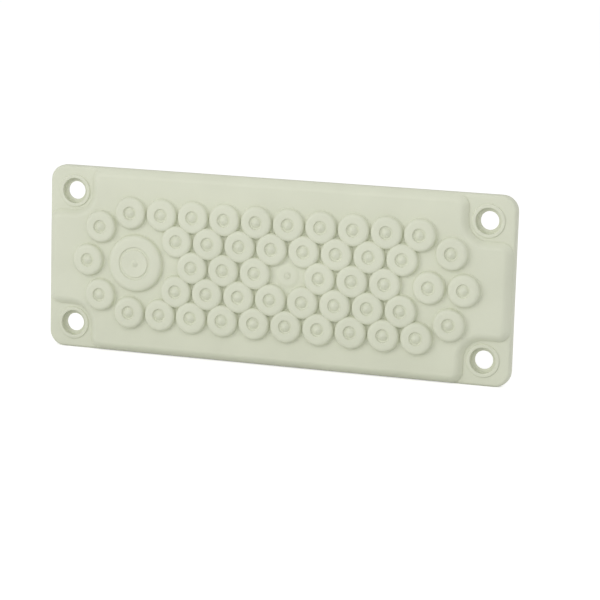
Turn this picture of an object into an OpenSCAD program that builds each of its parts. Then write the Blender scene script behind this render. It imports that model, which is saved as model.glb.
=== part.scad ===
// Cable entry plate: one soft plastic moulding that closes the cable opening of an enclosure.
// A flange with four screw holes carries a raised field, and the field carries closed membranes
// that are pierced where a cable has to pass. The back is hollow, with an even wall.
// The plate stands upright: length along X, height along Z, front towards -Y, back face at Y = 0.

/* [Plate] */
// Length of the plate
plate_length = 232; // [216:1:300]
// Height of the plate
plate_height = 89.2; // [84:0.1:120]
// Thickness of the flange at its edge
flange_thickness = 4.7; // [4:0.1:8]
// Radius of the plate's corners
corner_radius = 7.5; // [4:0.5:12]
// Rounding of the plate's front edge
edge_round = 1.5; // [0.5:0.1:2.5]

/* [Screw holes] */
// Distance from the plate's end to a screw
screw_end_margin = 13; // [12:0.1:16]
// Distance from the plate's long edge to a screw
screw_side_margin = 12.1; // [11:0.1:14]
// Diameter of the screw hole
screw_hole_d = 8.6; // [6:0.1:10]
// Diameter of the seat for the screw head
screw_seat_d = 12.4; // [11:0.1:14]
// Depth of the seat below the flange's face
screw_seat_depth = 2.2; // [1:0.1:3]
// Width of the bead around the seat
bead_width = 1.8; // [0.8:0.1:2.2]
// Height of the bead above the flange's face
bead_height = 0.6; // [0.3:0.1:1]

/* [Raised field] */
// Height of the field above the flange's face
field_rise = 3.2; // [2.4:0.1:4]
// Width of the slope around the field
field_slope = 2.4; // [1.8:0.1:3.2]
// Width of the soft shoulder between slope and field
field_shoulder = 1.6; // [0.4:0.1:2]
// Distance from the plate's end to the foot of the slope
field_end_margin = 0.7; // [0.2:0.1:2]
// Distance from the plate's long edge to the foot of the slope
field_side_margin = 0.5; // [0.2:0.1:2]
// Radius of the field's outer corners at the foot of the slope
field_corner = 5.5; // [5:0.1:7]
// Flat ring left between a bead and the foot of the slope
notch_clearance = 1.4; // [0.8:0.1:2.5]

/* [Membranes] */
// Diameter of a membrane at its foot
membrane_d = 16.5; // [14:0.1:18]
// Height of a membrane above the field
membrane_rise = 2.8; // [2.6:0.1:4]
// How far a membrane's foot flares out from its side
membrane_flare = 0.6; // [0.2:0.1:0.8]
// Width of the rounding from a membrane's side to its flat top
membrane_round = 2.1; // [1:0.1:2.6]
// Overlap of neighbours in one row
row_overlap = 0.5; // [0.2:0.1:0.8]
// Overlap of neighbours in adjacent rows
diagonal_overlap = 2; // [1:0.1:2.2]
// Radius of the piercing groove
groove_r = 2.65; // [2:0.05:3.5]
// Width of the piercing groove at its rim
groove_width = 1.4; // [1:0.1:1.8]
// Width of the piercing groove at its floor
groove_floor = 0.7; // [0.3:0.1:0.9]
// Depth of the piercing groove
groove_depth = 0.9; // [0.5:0.1:1]
// Height of the centre pip above the membrane's top
pip_rise = 0.5; // [0.1:0.1:0.8]
// Distance from the plate's end to the last membrane of an outer row, at least
row_end_margin = 43; // [40:1:60]

/* [Large membrane] */
// Diameter of the large membrane at its foot
large_d = 28.3; // [24:0.1:32]
// Height of the large membrane above the field
large_rise = 2.7; // [2.5:0.1:4]
// How far the large membrane's foot flares out from its side
large_flare = 0.3; // [0.1:0.1:0.8]
// Width of the rounding from the large membrane's side to its flat top
large_round = 3.4; // [1:0.1:4]
// Radius of the ring groove on the large membrane
large_groove_r = 7.3; // [6:0.1:9]
// Width of that groove
large_groove_width = 1.2; // [0.5:0.1:1.6]
// Depth of the dish inside that ring
large_dish = 0.5; // [0.1:0.1:0.6]
// Height of the pip in the middle of the dish
large_pip_rise = 0.9; // [0.2:0.1:0.9]
// Distance from the plate's end to the large membrane's centre
large_end_margin = 46.8; // [46:0.1:52]
// Gap between the large membrane and the membranes on the arc around its outer side
ring_gap = 2.2; // [1.5:0.1:4]
// Angle from the middle membrane of that arc to its neighbours
ring_angle = 42.4; // [41:0.1:46]
// Gap between the two middle membranes at the other end
end_pair_gap = 0.2; // [0.1:0.1:2]

/* [Gate] */
// Diameter of the low disc where the moulding was filled
gate_d = 12.2; // [9:0.1:14]
// Height of that disc above the field
gate_rise = 0.6; // [0.2:0.1:1]
// Diameter of the stub left on it
gate_stub_d = 2.6; // [1.5:0.1:4]
// Height of the stub
gate_stub_rise = 0.5; // [0.2:0.1:1]

/* [Hollow back] */
// Wall behind the field and behind the membranes
wall = 2; // [1.6:0.1:2.2]
// Width of the flat sealing land at the plate's ends
land_end = 12; // [10:0.5:14]
// Width of the flat sealing land along the plate's long edges
land_side = 10; // [8:0.5:12]

/* [Hidden] */
$fn = 48;

// Shallow overlap that joins one form to the form beneath it
sink = 0.6;
// Straight pieces in a quarter turn of an outline
arc_steps = 8;
// Straight pieces in a rounded edge
round_steps = 4;
// Height of the flared foot of a membrane
foot_rise = 0.3;
// How far the inner rim of the piercing groove, where the pip starts, lies below the outer rim
pip_drop = 0.35;
// Radius of the blunt tip of a pip
pip_tip_r = 0.3;
// Radius of the large membrane's pip at its foot
large_pip_r = 1.4;

field_level = flange_thickness + field_rise;
membrane_level = field_level + membrane_rise;
tray_depth = field_level - wall;

screw_x = plate_length / 2 - screw_end_margin;
screw_y = plate_height / 2 - screw_side_margin;
bead_r = screw_seat_d / 2 + bead_width;
notch_r = bead_r + notch_clearance;
// Wall of the screw posts inside the hollow back, measured square to the slope outside
post_r = notch_r + field_slope * (1 - wall / field_rise)
       + wall * norm([field_slope, field_rise]) / field_rise;

field_half_length = plate_length / 2 - field_end_margin;
field_half_height = plate_height / 2 - field_side_margin;
flat_half_height = field_half_height - field_slope - field_shoulder;

column_pitch = membrane_d - row_overlap;
diagonal_pitch = membrane_d - diagonal_overlap;
row_pitch = sqrt(pow(diagonal_pitch, 2) - pow(column_pitch / 2, 2));
row_reach = plate_length / 2 - row_end_margin;
rows = floor((flat_half_height - membrane_d / 2) / row_pitch);
columns = ceil(row_reach / column_pitch);

// Places of the membranes that don't follow the rows
large_x = plate_length / 2 - large_end_margin;
large_centre = [-large_x, 0];
gate_centre = [column_pitch / 2, 0];
ring_r = (large_d + membrane_d) / 2 + ring_gap;
ring_cells = [for (side = [-1, 1]) for (a = [-ring_angle, 0, ring_angle])
    [side * (large_x + ring_r * cos(a)), ring_r * sin(a)]];
end_cells = concat(ring_cells, [[large_x + ring_r - membrane_d - end_pair_gap, 0]]);

// A place in a row is kept where it clears the large membrane, the gate and the end membranes
function clears(p) =
    norm(p - large_centre) >= (large_d + membrane_d) / 2 &&
    norm(p - gate_centre) >= column_pitch / 2 &&
    min([for (q = end_cells) norm(p - q)]) >= diagonal_pitch;

// Rows on either side of the middle, each set half a pitch from the one before
row_cells = [for (row = [-rows:rows]) for (column = [-columns:columns])
    let (p = [(column + (row % 2 == 0 ? 0.5 : 0)) * column_pitch, row * row_pitch])
    if (abs(p.x) <= row_reach && clears(p)) p];

cells = concat(row_cells, end_cells);
screw_places = [for (sx = [-1, 1]) for (sy = [-1, 1]) [sx * screw_x, sy * screw_y]];

function arc(centre, r, from, to) = [for (i = [0:arc_steps])
    let (a = from + (to - from) * i / arc_steps) centre + r * [cos(a), sin(a)]];

function reversed(points) = [for (i = [len(points) - 1:-1:0]) points[i]];

// Whole outline from its first quarter, by mirroring in both axes
function whole(quarter) =
    let (half = concat(quarter, reversed([for (p = quarter) [-p.x, p.y]])))
    concat(half, reversed([for (p = half) [p.x, -p.y]]));

// Outline of the plate, moved in by inset
function plate_outline(inset) =
    whole(arc([plate_length / 2, plate_height / 2] - corner_radius * [1, 1],
              corner_radius - inset, 0, 90));

// Outline of the field, moved in by inset: a rectangle that steps back around each screw
function field_outline(inset) =
    let (round_r = field_corner - inset,
         end_corner = [field_half_length, screw_y - notch_r] - field_corner * [1, 1],
         side_corner = [screw_x - notch_r, field_half_height] - field_corner * [1, 1])
    whole(concat(arc(end_corner, round_r, 0, 90),
                 arc([screw_x, screw_y], notch_r + inset, 270, 180),
                 arc(side_corner, round_r, 0, 90)));

// Solid through a stack of outlines with equal numbers of points, each at its own height.
// Its two ends are fans of triangles from the middle.
module loft(outlines, heights) {
    n = len(outlines[0]);
    last = len(outlines) - 1;
    polyhedron(
        points = concat(
            [for (k = [0:last]) for (p = outlines[k]) [p.x, p.y, heights[k]]],
            [[0, 0, heights[0]], [0, 0, heights[last]]]),
        faces = [for (i = [0:n - 1])
            let (j = (i + 1) % n)
            each concat(
                [[(last + 1) * n, i, j], [(last + 1) * n + 1, last * n + j, last * n + i]],
                [for (k = [0:last - 1])
                    [k * n + i, (k + 1) * n + i, (k + 1) * n + j, k * n + j]])]);
}

module flange() {
    turns = [for (i = [0:round_steps]) 90 * i / round_steps];
    loft(concat([plate_outline(0)], [for (a = turns) plate_outline(edge_round * (1 - cos(a)))]),
         concat([0], [for (a = turns) flange_thickness - edge_round * (1 - sin(a))]));
}

// The shoulder is a curve that leaves along the slope and ends flat on the field
module field() {
    steps = [for (i = [0:round_steps]) i / round_steps];
    start = 1 - field_shoulder / field_slope;
    insets = [for (t = steps)
        field_slope * (1 - (1 - start) * pow(1 - t, 2)) + field_shoulder * pow(t, 2)];
    rises = [for (t = steps) field_rise * (1 - (1 - start) * pow(1 - t, 2))];
    loft(concat([field_outline(0), field_outline(0)], [for (d = insets) field_outline(d)]),
         concat([flange_thickness - edge_round, flange_thickness],
                [for (h = rises) flange_thickness + h]));
}

// Outer side of a membrane from its foot to the rim of its flat top, in radius and height.
// Above the flared foot it is a quarter of an ellipse.
function side_profile(foot_r, rise, flare, round_width) = concat(
    [[0, -sink], [foot_r, -sink], [foot_r, 0]],
    [for (i = [0:round_steps]) let (a = 90 * i / round_steps)
        [foot_r - flare - round_width * (1 - cos(a)), foot_rise + (rise - foot_rise) * sin(a)]]);

module membrane() {
    rotate_extrude() polygon(concat(
        side_profile(membrane_d / 2, membrane_rise, membrane_flare, membrane_round),
        [[groove_r + groove_width / 2, membrane_rise],
         [groove_r + groove_floor / 2, membrane_rise - groove_depth],
         [groove_r - groove_floor / 2, membrane_rise - groove_depth],
         [groove_r - groove_width / 2, membrane_rise - pip_drop],
         [pip_tip_r, membrane_rise + pip_rise],
         [0, membrane_rise + pip_rise]]));
}

module large_membrane() {
    half = large_groove_width / 2;
    dish_level = large_rise - large_dish;
    rotate_extrude() polygon(concat(
        side_profile(large_d / 2, large_rise, large_flare, large_round),
        [[large_groove_r + half, large_rise],
         [large_groove_r + half / 2, large_rise - groove_depth],
         [large_groove_r - half / 2, large_rise - groove_depth],
         [large_groove_r - half, large_rise],
         [large_pip_r, dish_level],
         [pip_tip_r, dish_level + large_pip_rise],
         [0, dish_level + large_pip_rise]]));
}

module gate() {
    translate([0, 0, -sink]) cylinder(d = gate_d, h = gate_rise + sink);
    cylinder(d = gate_stub_d, h = gate_rise + gate_stub_rise);
}

module bead() {
    seat_r = screw_seat_d / 2;
    rotate_extrude() polygon([
        [seat_r - sink, -sink], [bead_r, -sink], [bead_r, bead_height / 4],
        [bead_r - bead_width / 3, bead_height], [seat_r + bead_width / 4, bead_height],
        [seat_r - sink, bead_height / 2]]);
}

// Stepped hole for one screw, from below the back to above the bead
module screw_hole() {
    top = flange_thickness + bead_height + 1;
    seat_level = flange_thickness - screw_seat_depth;
    translate([0, 0, -1]) cylinder(d = screw_hole_d, h = top + 1);
    translate([0, 0, seat_level]) cylinder(d = screw_seat_d, h = top - seat_level);
}

// Hollow behind the field, which leaves a post around each screw
module tray() {
    difference() {
        translate([land_end - plate_length / 2, land_side - plate_height / 2, -1])
            cube([plate_length - 2 * land_end, plate_height - 2 * land_side, tray_depth + 1]);
        for (p = screw_places)
            translate([p.x, p.y, -2]) cylinder(r = post_r, h = tray_depth + 3);
    }
}

// Hollow behind one membrane, from inside the tray to the membrane's own wall
module cup(side_r, top_level) {
    translate([0, 0, tray_depth - sink])
        cylinder(r = side_r - wall, h = top_level - wall - tray_depth + sink);
}

module cable_entry_plate() {
    color([0.84, 0.85, 0.78]) rotate([90, 0, 0]) difference() {
        union() {
            flange();
            field();
            for (p = screw_places) translate([p.x, p.y, flange_thickness]) bead();
            translate([0, 0, field_level]) {
                for (p = cells) translate(p) membrane();
                translate(large_centre) large_membrane();
                translate(gate_centre) gate();
            }
        }
        tray();
        for (p = cells) translate(p) cup(membrane_d / 2 - membrane_flare, membrane_level);
        translate(large_centre) cup(large_d / 2 - large_flare, field_level + large_rise);
        for (p = screw_places) translate(p) screw_hole();
    }
}

cable_entry_plate();
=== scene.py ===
"""Cable entry plate: the moulded plate with soft edges, rounded membranes and a satin plastic finish.

Sizes are in millimetres and lie in the plate's own plane: x along its length, y up, z out of the
front, with the back face at z = 0. The function to_frame turns them into the CAD frame in metres.
"""
import math
import random

import bpy
from mathutils import Matrix, Vector


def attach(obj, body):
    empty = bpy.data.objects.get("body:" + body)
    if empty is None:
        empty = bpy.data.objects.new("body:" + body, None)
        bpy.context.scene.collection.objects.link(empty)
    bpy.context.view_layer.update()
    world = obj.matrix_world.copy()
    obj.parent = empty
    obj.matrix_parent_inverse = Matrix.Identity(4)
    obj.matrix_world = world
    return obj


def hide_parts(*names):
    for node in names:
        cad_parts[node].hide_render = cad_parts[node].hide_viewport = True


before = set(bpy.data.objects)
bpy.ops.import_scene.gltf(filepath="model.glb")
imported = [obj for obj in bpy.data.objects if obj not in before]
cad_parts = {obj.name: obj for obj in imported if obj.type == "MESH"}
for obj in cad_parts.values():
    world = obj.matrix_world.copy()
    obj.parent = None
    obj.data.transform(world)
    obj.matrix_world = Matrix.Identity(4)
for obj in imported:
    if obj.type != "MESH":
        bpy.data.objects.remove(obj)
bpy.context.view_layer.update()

MM = 0.001

# Plate
PLATE_LENGTH = 232.0
PLATE_HEIGHT = 89.2
FLANGE_THICKNESS = 4.7
CORNER_RADIUS = 7.5
EDGE_ROUND = 1.5
BACK_EDGE_ROUND = 0.4

# Screw holes
SCREW_X = PLATE_LENGTH / 2 - 13.0
SCREW_Y = PLATE_HEIGHT / 2 - 12.1
SCREW_HOLE_R = 4.3
SCREW_HOLE_LIP = 0.6
SCREW_HOLE_FLARE = 0.9
SCREW_SEAT_R = 6.2
SCREW_SEAT_DEPTH = 2.2
SCREW_SEAT_DRAFT = 0.1
BEAD_WIDTH = 1.8
BEAD_HEIGHT = 0.6

# Raised field
FIELD_RISE = 3.2
FIELD_SLOPE = 2.4
FIELD_SHOULDER = 1.6
FIELD_FOOT = 0.4
FIELD_END_MARGIN = 0.7
FIELD_SIDE_MARGIN = 0.5
FIELD_CORNER = 5.5
NOTCH_R = SCREW_SEAT_R + BEAD_WIDTH + 1.4
FIELD_LEVEL = FLANGE_THICKNESS + FIELD_RISE

# Membranes
MEMBRANE_R = 8.25
MEMBRANE_RISE = 2.8
MEMBRANE_FLARE = 0.6
MEMBRANE_ROUND = 2.1
FOOT_RISE = 0.25
GROOVE_R = 2.65
GROOVE_WIDTH = 1.4
GROOVE_FLOOR = 0.7
GROOVE_DEPTH = 0.95
PIP_DROP = 0.55
PIP_RISE = 0.5
PIP_TIP_R = 0.2
COLUMN_PITCH = 16.0
DIAGONAL_PITCH = 14.5
ROW_PITCH = math.sqrt(DIAGONAL_PITCH ** 2 - (COLUMN_PITCH / 2) ** 2)
ROW_REACH = PLATE_LENGTH / 2 - 43.0

# Large membrane, the ring of membranes around each end, and the gate disc
LARGE_R = 14.15
LARGE_RISE = 2.7
LARGE_FLARE = 0.3
LARGE_ROUND = 3.4
LARGE_GROOVE_R = 7.3
LARGE_GROOVE_WIDTH = 1.6
LARGE_GROOVE_DEPTH = 0.65
LARGE_DISH = 0.7
LARGE_PIP_R = 1.7
LARGE_PIP_RISE = 1.2
LARGE_X = PLATE_LENGTH / 2 - 46.8
RING_R = LARGE_R + MEMBRANE_R + 2.2
RING_ANGLE = math.radians(42.4)
END_PAIR_PITCH = 2 * MEMBRANE_R + 0.2
GATE_R = 6.1
GATE_RISE = 0.6
GATE_EDGE = 1.5
GATE_MARK_R = 2.0
GATE_MARK_DEPTH = 0.1
GATE_MARK_SLOPE = 0.3
GATE_STUB_R = 1.3
GATE_STUB_RISE = 0.25
GATE_ROUGHNESS = 0.08

# Hollow back, overlaps between forms and the two small roundings
WALL = 2.0
LAND_END = 12.0
LAND_SIDE = 10.0
TRAY_DEPTH = FIELD_LEVEL - WALL
POST_R = (NOTCH_R + FIELD_SLOPE * (1 - WALL / FIELD_RISE)
          + WALL * math.hypot(FIELD_SLOPE, FIELD_RISE) / FIELD_RISE)
SINK = 0.6
PAST = 1.0
FINE = 0.15
SOFT = 0.2

LARGE_PLACE = (-LARGE_X, 0.0)
GATE_PLACE = (COLUMN_PITCH / 2, 0.0)
SCREW_PLACES = [(sx * SCREW_X, sy * SCREW_Y) for sx in (-1, 1) for sy in (-1, 1)]


def to_frame(x, y, z):
    """A point of the plate, in millimetres, as a point of the CAD frame, in metres."""
    return Vector((x, -z, y)) * MM


# Outlines

def arc(centre, radius, start, end, steps=10):
    """Points along an arc, with its angles in degrees."""
    angles = [math.radians(start + (end - start) * i / steps) for i in range(steps + 1)]
    return [(centre[0] + radius * math.cos(a), centre[1] + radius * math.sin(a)) for a in angles]


def whole(quarter):
    """A whole outline from its first quarter, by mirroring in both axes."""
    half = quarter + [(-x, y) for x, y in reversed(quarter)]
    return half + [(x, -y) for x, y in reversed(half)]


def plate_outline(inset):
    """The plate's outline, moved in by inset."""
    centre = (PLATE_LENGTH / 2 - CORNER_RADIUS, PLATE_HEIGHT / 2 - CORNER_RADIUS)
    return whole(arc(centre, CORNER_RADIUS - inset, 0, 90))


def field_outline(inset):
    """The raised field's outline, moved in by inset: it steps back around each screw."""
    end_corner = (PLATE_LENGTH / 2 - FIELD_END_MARGIN - FIELD_CORNER, SCREW_Y - NOTCH_R - FIELD_CORNER)
    side_corner = (SCREW_X - NOTCH_R - FIELD_CORNER, PLATE_HEIGHT / 2 - FIELD_SIDE_MARGIN - FIELD_CORNER)
    return whole(
        arc(end_corner, FIELD_CORNER - inset, 0, 90)
        + arc((SCREW_X, SCREW_Y), NOTCH_R + inset, 270, 180)
        + arc(side_corner, FIELD_CORNER - inset, 0, 90)
    )


def tray_outline():
    """The hollow back's outline: a rectangle with a round post left at each screw."""
    half_length = PLATE_LENGTH / 2 - LAND_END
    half_height = PLATE_HEIGHT / 2 - LAND_SIDE
    low = 270 + math.degrees(math.asin((half_length - SCREW_X) / POST_R))
    high = 180 - math.degrees(math.asin((half_height - SCREW_Y) / POST_R))
    return whole(arc((SCREW_X, SCREW_Y), POST_R, low, high, steps=16))


# Places of the membranes

def distance(p, q):
    return math.hypot(p[0] - q[0], p[1] - q[1])


def end_places():
    """The arcs of membranes at both ends, and the one beside the arc at the plain end."""
    turns = (-RING_ANGLE, 0.0, RING_ANGLE)
    ring = [(side * (LARGE_X + RING_R * math.cos(a)), RING_R * math.sin(a))
            for side in (-1, 1) for a in turns]
    return ring + [(LARGE_X + RING_R - END_PAIR_PITCH, 0.0)]


def membrane_places():
    """All membranes: five staggered rows, kept where they clear the other forms, and the ends."""
    ends = end_places()
    rows = []
    for row in range(-2, 3):
        for column in range(-6, 7):
            place = ((column + (0.5 if row % 2 == 0 else 0.0)) * COLUMN_PITCH, row * ROW_PITCH)
            clear = (abs(place[0]) <= ROW_REACH
                     and distance(place, LARGE_PLACE) >= LARGE_R + MEMBRANE_R
                     and distance(place, GATE_PLACE) >= COLUMN_PITCH / 2
                     and min(distance(place, end) for end in ends) >= DIAGONAL_PITCH)
            if clear:
                rows.append(place)
    return rows + ends


# Meshes

def new_object(name, points, faces):
    """An object at the origin from points and faces in the CAD frame."""
    mesh = bpy.data.meshes.new(name)
    mesh.from_pydata(points, [], faces)
    mesh.validate()
    made = bpy.data.objects.new(name, mesh)
    bpy.context.scene.collection.objects.link(made)
    return made


def shell(outlines, heights):
    """Points and faces of a closed form through a stack of outlines, lowest first."""
    count = len(outlines[0])
    last = len(outlines) - 1
    points = [to_frame(x, y, z) for outline, z in zip(outlines, heights) for x, y in outline]
    faces = [tuple(reversed(range(count))), tuple(last * count + i for i in range(count))]
    for level in range(last):
        for i in range(count):
            j = (i + 1) % count
            low, high = level * count, (level + 1) * count
            faces.append((low + i, low + j, high + j, high + i))
    return points, faces


def reach(here, neighbour, soft):
    """How far the softening of a corner goes towards a neighbour, which may be soft itself."""
    way = Vector(neighbour[:2]) - here
    free = 0.98 * soft / (soft + neighbour[2])
    return way.normalized() * min(soft, way.length * free)


def softened(corners):
    """A profile from corners (radius, height, softness), each one rounded over its softness."""
    profile = []
    for i, (radius, height, soft) in enumerate(corners):
        here = Vector((radius, height))
        if soft == 0 or i in (0, len(corners) - 1):
            profile.append(here)
            continue
        start, end = [here + reach(here, corners[i + step], soft) for step in (-1, 1)]
        steps = 2 + round(2 * soft)
        for k in range(steps + 1):
            t = k / steps
            profile.append(start * (1 - t) ** 2 + here * 2 * t * (1 - t) + end * t ** 2)
    return profile


def turned(profile, place=(0.0, 0.0), level=0.0, segments=48):
    """Points and faces of a profile turned about an axis out of the plate, from axis to axis."""
    ring = profile[1:-1]
    points = [to_frame(place[0], place[1], level + profile[0].y)]
    for point in ring:
        for k in range(segments):
            a = 2 * math.pi * k / segments
            points.append(to_frame(place[0] + point.x * math.cos(a), place[1] + point.x * math.sin(a),
                                   level + point.y))
    points.append(to_frame(place[0], place[1], level + profile[-1].y))
    top = len(points) - 1
    faces = []
    for k in range(segments):
        n = (k + 1) % segments
        faces.append((0, 1 + n, 1 + k))
        for r in range(len(ring) - 1):
            low, high = 1 + r * segments, 1 + (r + 1) * segments
            faces.append((low + k, low + n, high + n, high + k))
        high = 1 + (len(ring) - 1) * segments
        faces.append((high + k, high + n, top))
    return points, faces


def turned_ring(profile, place, level, segments=64):
    """Points and faces of a closed profile turned about an axis out of the plate."""
    count = len(profile)
    points = []
    for k in range(segments):
        a = 2 * math.pi * k / segments
        for point in profile:
            points.append(to_frame(place[0] + point.x * math.cos(a), place[1] + point.x * math.sin(a),
                                   level + point.y))
    faces = []
    for k in range(segments):
        n = (k + 1) % segments
        for i in range(count):
            j = (i + 1) % count
            faces.append((k * count + i, n * count + i, n * count + j, k * count + j))
    return points, faces


def joined(forms):
    """Several separate closed forms as one set of points and faces."""
    points, faces = [], []
    for form_points, form_faces in forms:
        start = len(points)
        points += form_points
        faces += [tuple(start + i for i in face) for face in form_faces]
    return points, faces


# Forms of the plate

def flange_form():
    """The flat flange, with a rounded front edge and a lightly broken back edge."""
    turns = [math.radians(90 * i / 6) for i in range(7)]
    back = [(BACK_EDGE_ROUND * (1 - math.sin(a)), BACK_EDGE_ROUND * (1 - math.cos(a))) for a in turns]
    front = [(EDGE_ROUND * (1 - math.cos(a)), FLANGE_THICKNESS - EDGE_ROUND * (1 - math.sin(a)))
             for a in turns]
    steps = back + front
    return shell([plate_outline(inset) for inset, _ in steps], [height for _, height in steps])


def field_form():
    """The raised field, with a crisp upright foot, a slope and a soft shoulder."""
    start = 1 - FIELD_SHOULDER / FIELD_SLOPE
    foot = FLANGE_THICKNESS + FIELD_FOOT
    rise = FIELD_RISE - FIELD_FOOT
    steps = [(0.0, FLANGE_THICKNESS - EDGE_ROUND), (0.0, foot)]
    for i in range(9):
        t = i / 8
        share = 1 - (1 - start) * (1 - t) ** 2
        steps.append((FIELD_SLOPE * share + FIELD_SHOULDER * t ** 2, foot + rise * share))
    return shell([field_outline(inset) for inset, _ in steps], [height for _, height in steps])


def tray_form():
    """The space behind the field."""
    return shell([tray_outline(), tray_outline()], [-PAST, TRAY_DEPTH])


def membrane_form():
    """One membrane: flared foot, wide soft edge, flat top, piercing groove and a cone inside it."""
    groove = MEMBRANE_RISE - GROOVE_DEPTH
    tip = MEMBRANE_RISE + PIP_RISE
    return turned(softened([
        (0.0, -SINK, 0.0),
        (MEMBRANE_R, -SINK, 0.0),
        (MEMBRANE_R, 0.0, 0.0),
        (MEMBRANE_R - 0.75 * MEMBRANE_FLARE, FOOT_RISE, 0.6),
        (MEMBRANE_R - MEMBRANE_FLARE, MEMBRANE_RISE, MEMBRANE_ROUND),
        (GROOVE_R + GROOVE_WIDTH / 2, MEMBRANE_RISE, FINE),
        (GROOVE_R + GROOVE_FLOOR / 2, groove, SOFT),
        (GROOVE_R - GROOVE_FLOOR / 2, groove, SOFT),
        (GROOVE_R - GROOVE_WIDTH / 2, MEMBRANE_RISE - PIP_DROP, SOFT),
        (PIP_TIP_R, tip, FINE),
        (0.0, tip, 0.0),
    ]))


def cup_form(side, rise):
    """The hollow behind one membrane, from inside the tray to one wall inside the membrane's side."""
    radius = side - WALL
    top = FIELD_LEVEL + rise - WALL
    return [(0.0, TRAY_DEPTH - SINK, 0.0), (radius, TRAY_DEPTH - SINK, 0.0), (radius, top, 0.5),
            (0.0, top, 0.0)]


def large_membrane_form():
    """The large membrane: wide soft shoulder, ring groove, shallow dish and a small pip."""
    side = LARGE_R - LARGE_FLARE
    half = LARGE_GROOVE_WIDTH / 2
    groove = LARGE_RISE - LARGE_GROOVE_DEPTH
    dish = LARGE_RISE - LARGE_DISH
    tip = dish + LARGE_PIP_RISE
    return turned(softened([
        (0.0, -SINK, 0.0),
        (LARGE_R, -SINK, 0.0),
        (LARGE_R, 0.0, 0.0),
        (side, FOOT_RISE, 0.4),
        (side, 0.45 * LARGE_RISE, 0.5 * LARGE_RISE),
        (side - 0.4 * LARGE_ROUND, LARGE_RISE, 0.6 * LARGE_ROUND),
        (LARGE_GROOVE_R + half, LARGE_RISE, FINE),
        (LARGE_GROOVE_R + half / 2, groove, FINE),
        (LARGE_GROOVE_R - half / 2, groove, FINE),
        (LARGE_GROOVE_R - half, LARGE_RISE, SOFT),
        (LARGE_PIP_R, dish, 0.3),
        (PIP_TIP_R, tip, FINE),
        (0.0, tip, 0.0),
    ]), LARGE_PLACE, FIELD_LEVEL, segments=96)


def gate_form():
    """The low disc where the moulding was filled, with the rough stub that was left on it."""
    points, faces = turned(softened([
        (0.0, -SINK, 0.0),
        (GATE_R, -SINK, 0.0),
        (GATE_R, 0.0, 0.0),
        (GATE_R - GATE_EDGE, GATE_RISE, 0.9),
        (GATE_MARK_R, GATE_RISE, SOFT),
        (GATE_MARK_R - GATE_MARK_SLOPE, GATE_RISE - GATE_MARK_DEPTH, SOFT),
        (GATE_STUB_R, GATE_RISE - GATE_MARK_DEPTH, SOFT),
        (GATE_STUB_R - GATE_MARK_SLOPE, GATE_RISE + GATE_STUB_RISE, SOFT),
        (0.0, GATE_RISE + GATE_STUB_RISE, 0.0),
    ]), GATE_PLACE, FIELD_LEVEL)
    rough = random.Random(7)
    centre = to_frame(*GATE_PLACE, 0.0)
    for point in points:
        off_axis = math.hypot(point.x - centre.x, point.z - centre.z)
        if off_axis < GATE_MARK_R * MM and -point.y > FIELD_LEVEL * MM:
            point += Vector([rough.uniform(-GATE_ROUGHNESS, GATE_ROUGHNESS) * MM for _ in range(3)])
    return points, faces


def bead_form(place):
    """The bead around one screw seat."""
    outer = SCREW_SEAT_R + BEAD_WIDTH
    corners = [(SCREW_SEAT_R - 0.4, -SINK, 0.0), (outer, -SINK, 0.0), (outer, 0.0, 0.0),
               (outer - 0.3, BEAD_HEIGHT, 0.3), (SCREW_SEAT_R + 0.2, BEAD_HEIGHT, 0.25),
               (SCREW_SEAT_R - 0.4, 0.2, 0.0)]
    return turned_ring(softened(corners), place, FLANGE_THICKNESS)


def screw_hole_form(place):
    """The hole for one screw: it widens from a short lip to the back, and to the seat in front."""
    seat = FLANGE_THICKNESS - SCREW_SEAT_DEPTH
    front = FLANGE_THICKNESS + 2 * PAST
    return turned(softened([
        (0.0, -PAST, 0.0),
        (SCREW_HOLE_R + SCREW_HOLE_FLARE, -PAST, 0.0),
        (SCREW_HOLE_R + SCREW_HOLE_FLARE, 0.0, 0.0),
        (SCREW_HOLE_R, seat - SCREW_HOLE_LIP, FINE),
        (SCREW_HOLE_R, seat, FINE),
        (SCREW_SEAT_R - SCREW_SEAT_DRAFT, seat, FINE),
        (SCREW_SEAT_R, front, 0.0),
        (0.0, front, 0.0),
    ]), place, segments=64)


# Plastic

def linear(red, green, blue):
    """A colour of a picture, from 0 to 255 in each channel, as Blender's linear light."""
    def channel(value):
        c = value / 255
        return c / 12.92 if c <= 0.04045 else ((c + 0.055) / 1.055) ** 2.4
    return (channel(red), channel(green), channel(blue), 1.0)


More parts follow.
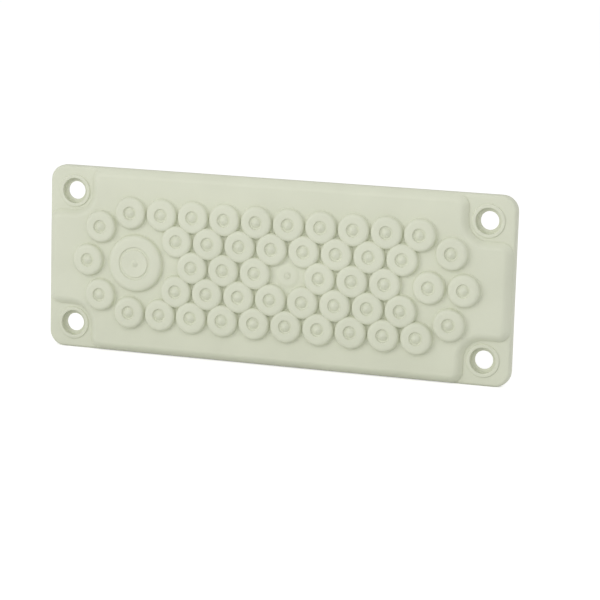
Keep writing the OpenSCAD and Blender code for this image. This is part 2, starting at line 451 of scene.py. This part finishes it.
def pale_plastic():
    """Satin pale grey-green moulded plastic with faint clouding and a fine eroded texture."""
    material = bpy.data.materials.new("pale_grey_plastic")
    material.use_nodes = True
    nodes, links = material.node_tree.nodes, material.node_tree.links
    shader = nodes["Principled BSDF"]
    place = nodes.new("ShaderNodeTexCoord")

    def noise(scale, detail):
        made = nodes.new("ShaderNodeTexNoise")
        made.inputs["Scale"].default_value = scale
        made.inputs["Detail"].default_value = detail
        links.new(place.outputs["Object"], made.inputs["Vector"])
        return made.outputs["Fac"]

    clouds = nodes.new("ShaderNodeValToRGB")
    clouds.color_ramp.elements[0].position = 0.3
    clouds.color_ramp.elements[0].color = linear(213, 216, 196)
    clouds.color_ramp.elements[1].position = 0.7
    clouds.color_ramp.elements[1].color = linear(218, 221, 201)
    links.new(noise(45.0, 4.0), clouds.inputs["Fac"])
    links.new(clouds.outputs["Color"], shader.inputs["Base Color"])

    satin = nodes.new("ShaderNodeMapRange")
    satin.inputs["To Min"].default_value = 0.42
    satin.inputs["To Max"].default_value = 0.58
    links.new(noise(300.0, 3.0), satin.inputs["Value"])
    links.new(satin.outputs["Result"], shader.inputs["Roughness"])

    texture = nodes.new("ShaderNodeBump")
    texture.inputs["Strength"].default_value = 0.12
    texture.inputs["Distance"].default_value = 0.05 * MM
    links.new(noise(1800.0, 3.0), texture.inputs["Height"])
    links.new(texture.outputs["Normal"], shader.inputs["Normal"])

    shader.inputs["Specular IOR Level"].default_value = 0.4
    return material


# Moulding made by geometry nodes: membranes set on their places and joined to the body

def moulding_tree():
    """Node tree that joins a membrane at each place to the body and hollows the back."""
    tree = bpy.data.node_groups.new("membrane_moulding", "GeometryNodeTree")
    face = tree.interface
    face.new_socket("Places", in_out="INPUT", socket_type="NodeSocketGeometry")
    for name in ("Flange", "Field", "Membrane", "Single forms", "Tray", "Cup", "Single hollows"):
        face.new_socket(name, in_out="INPUT", socket_type="NodeSocketObject")
    face.new_socket("Crease angle", in_out="INPUT", socket_type="NodeSocketFloat")
    face.new_socket("Plastic", in_out="INPUT", socket_type="NodeSocketMaterial")
    face.new_socket("Moulding", in_out="OUTPUT", socket_type="NodeSocketGeometry")
    nodes, links = tree.nodes, tree.links
    source = nodes.new("NodeGroupInput")
    result = nodes.new("NodeGroupOutput")

    def shape(name):
        made = nodes.new("GeometryNodeObjectInfo")
        links.new(source.outputs[name], made.inputs["Object"])
        return made.outputs["Geometry"]

    def at_places(name):
        made = nodes.new("GeometryNodeInstanceOnPoints")
        links.new(source.outputs["Places"], made.inputs["Points"])
        links.new(shape(name), made.inputs["Instance"])
        return made.outputs["Instances"]

    union = nodes.new("GeometryNodeMeshBoolean")
    union.operation = "UNION"
    union.solver = "MANIFOLD"
    for form in (shape("Flange"), shape("Field"), shape("Single forms"), at_places("Membrane")):
        links.new(form, union.inputs["Mesh 2"])

    hollow = nodes.new("GeometryNodeMeshBoolean")
    hollow.operation = "DIFFERENCE"
    hollow.solver = "MANIFOLD"
    links.new(union.outputs["Mesh"], hollow.inputs["Mesh 1"])
    for form in (shape("Tray"), shape("Single hollows"), at_places("Cup")):
        links.new(form, hollow.inputs["Mesh 2"])

    smooth = nodes.new("GeometryNodeSetShadeSmooth")
    smooth.domain = "FACE"
    links.new(hollow.outputs["Mesh"], smooth.inputs["Geometry"])

    edge = nodes.new("GeometryNodeInputMeshEdgeAngle")
    crease = nodes.new("FunctionNodeCompare")
    crease.operation = "GREATER_THAN"
    links.new(edge.outputs["Unsigned Angle"], crease.inputs["A"])
    links.new(source.outputs["Crease angle"], crease.inputs["B"])
    sharp = nodes.new("GeometryNodeSetShadeSmooth")
    sharp.domain = "EDGE"
    sharp.inputs["Shade Smooth"].default_value = False
    links.new(smooth.outputs["Geometry"], sharp.inputs["Geometry"])
    links.new(crease.outputs["Result"], sharp.inputs["Selection"])

    real = nodes.new("GeometryNodeRealizeInstances")
    links.new(sharp.outputs["Geometry"], real.inputs["Geometry"])
    finish = nodes.new("GeometryNodeSetMaterial")
    links.new(real.outputs["Geometry"], finish.inputs["Geometry"])
    links.new(source.outputs["Plastic"], finish.inputs["Material"])
    links.new(finish.outputs["Geometry"], result.inputs["Moulding"])
    return tree


def make_moulding():
    """The whole plate as one plain mesh object."""
    shapes = {
        "Flange": flange_form(),
        "Field": field_form(),
        "Membrane": membrane_form(),
        "Single forms": joined([large_membrane_form(), gate_form()] + [bead_form(p) for p in SCREW_PLACES]),
        "Tray": tray_form(),
        "Cup": turned(softened(cup_form(MEMBRANE_R - MEMBRANE_FLARE, MEMBRANE_RISE)), level=-FIELD_LEVEL,
                      segments=40),
        "Single hollows": joined(
            [turned(softened(cup_form(LARGE_R - LARGE_FLARE, LARGE_RISE)), LARGE_PLACE, segments=64)]
            + [screw_hole_form(p) for p in SCREW_PLACES]),
    }
    helpers = {name: new_object("form_" + name.lower().replace(" ", "_"), *form)
               for name, form in shapes.items()}
    places = new_object("plate_moulding", [to_frame(x, y, FIELD_LEVEL) for x, y in membrane_places()], [])

    tree = moulding_tree()
    settings = dict(helpers)
    settings["Crease angle"] = math.radians(28)
    settings["Plastic"] = pale_plastic()
    build = places.modifiers.new("moulding", "NODES")
    build.node_group = tree
    for item in tree.interface.items_tree:
        if item.in_out == "INPUT" and item.name in settings:
            build[item.identifier] = settings[item.name]
    even = places.modifiers.new("even_shading", "WEIGHTED_NORMAL")
    even.keep_sharp = True

    evaluated = places.evaluated_get(bpy.context.evaluated_depsgraph_get())
    mesh = bpy.data.meshes.new_from_object(evaluated)
    places.modifiers.clear()
    places.data = mesh
    for helper in helpers.values():
        bpy.data.objects.remove(helper)
    return places


plate = make_moulding()
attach(plate, "root")
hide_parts("cable_entry_plate")


# Floor, light and camera

def make_floor():
    """A wide white floor under the plate that stays white to the eye and keeps a soft shadow."""
    half = 6.0
    level = -PLATE_HEIGHT / 2 * MM
    floor = new_object("floor", [(-half, -half, level), (half, -half, level), (half, half, level),
                                 (-half, half, level)], [(0, 1, 2, 3)])
    material = bpy.data.materials.new("white_floor")
    material.use_nodes = True
    nodes, links = material.node_tree.nodes, material.node_tree.links
    nodes.remove(nodes["Principled BSDF"])
    paint = nodes.new("ShaderNodeBsdfDiffuse")
    paint.inputs["Color"].default_value = (0.8, 0.8, 0.8, 1.0)
    glow = nodes.new("ShaderNodeEmission")
    seen = nodes.new("ShaderNodeLightPath")
    either = nodes.new("ShaderNodeMath")
    either.operation = "MAXIMUM"
    links.new(seen.outputs["Is Camera Ray"], either.inputs[0])
    links.new(seen.outputs["Is Glossy Ray"], either.inputs[1])
    level_of_glow = nodes.new("ShaderNodeMath")
    level_of_glow.operation = "MULTIPLY"
    level_of_glow.inputs[1].default_value = 0.5
    links.new(either.outputs["Value"], level_of_glow.inputs[0])
    links.new(level_of_glow.outputs["Value"], glow.inputs["Strength"])
    both = nodes.new("ShaderNodeAddShader")
    links.new(paint.outputs["BSDF"], both.inputs[0])
    links.new(glow.outputs["Emission"], both.inputs[1])
    links.new(both.outputs["Shader"], nodes["Material Output"].inputs["Surface"])
    floor.data.materials.append(material)


def make_lamp(name, position, width, height, power):
    """An area lamp that points at the middle of the plate."""
    data = bpy.data.lights.new(name, "AREA")
    data.shape = "RECTANGLE"
    data.size = width
    data.size_y = height
    data.energy = power
    lamp = bpy.data.objects.new(name, data)
    lamp.location = position
    lamp.rotation_euler = (-Vector(position)).to_track_quat("-Z", "Y").to_euler()
    bpy.context.scene.collection.objects.link(lamp)


def make_world():
    """Even white light from all sides, seen as white by the camera."""
    world = bpy.data.worlds.new("studio")
    world.use_nodes = True
    nodes, links = world.node_tree.nodes, world.node_tree.links
    sky = nodes["Background"]
    sky.inputs["Color"].default_value = (1.0, 1.0, 1.0, 1.0)
    seen = nodes.new("ShaderNodeLightPath")
    strength = nodes.new("ShaderNodeMapRange")
    strength.inputs["To Min"].default_value = 0.65
    strength.inputs["To Max"].default_value = 1.0
    links.new(seen.outputs["Is Camera Ray"], strength.inputs["Value"])
    links.new(strength.outputs["Result"], sky.inputs["Strength"])
    bpy.context.scene.world = world


def make_camera():
    """The photograph's viewpoint: right of the plate and a little above, with a long lens."""
    data = bpy.data.cameras.new("camera")
    data.sensor_width = 36.0
    data.lens = 137.76
    camera = bpy.data.objects.new("camera", data)
    right = Vector((0.94621, 0.32231, 0.02843))
    up = Vector((-0.08277, 0.15616, 0.98426))
    back = right.cross(up)
    place = Matrix((right, up, back)).transposed().to_4x4()
    place.translation = (0.35217, -1.01617, 0.17737)
    camera.matrix_world = place
    bpy.context.scene.collection.objects.link(camera)
    bpy.context.scene.camera = camera


make_floor()
make_lamp("key", (-1.7, -1.7, 0.1), 1.2, 1.2, 15.0)
make_lamp("top_strip", (0.0, -0.25, 0.18), 0.6, 0.08, 0.28)
make_lamp("rim", (1.2, 0.15, 1.0), 0.5, 0.5, 2.0)
make_world()
make_camera()
bpy.context.scene.view_settings.view_transform = "Standard"
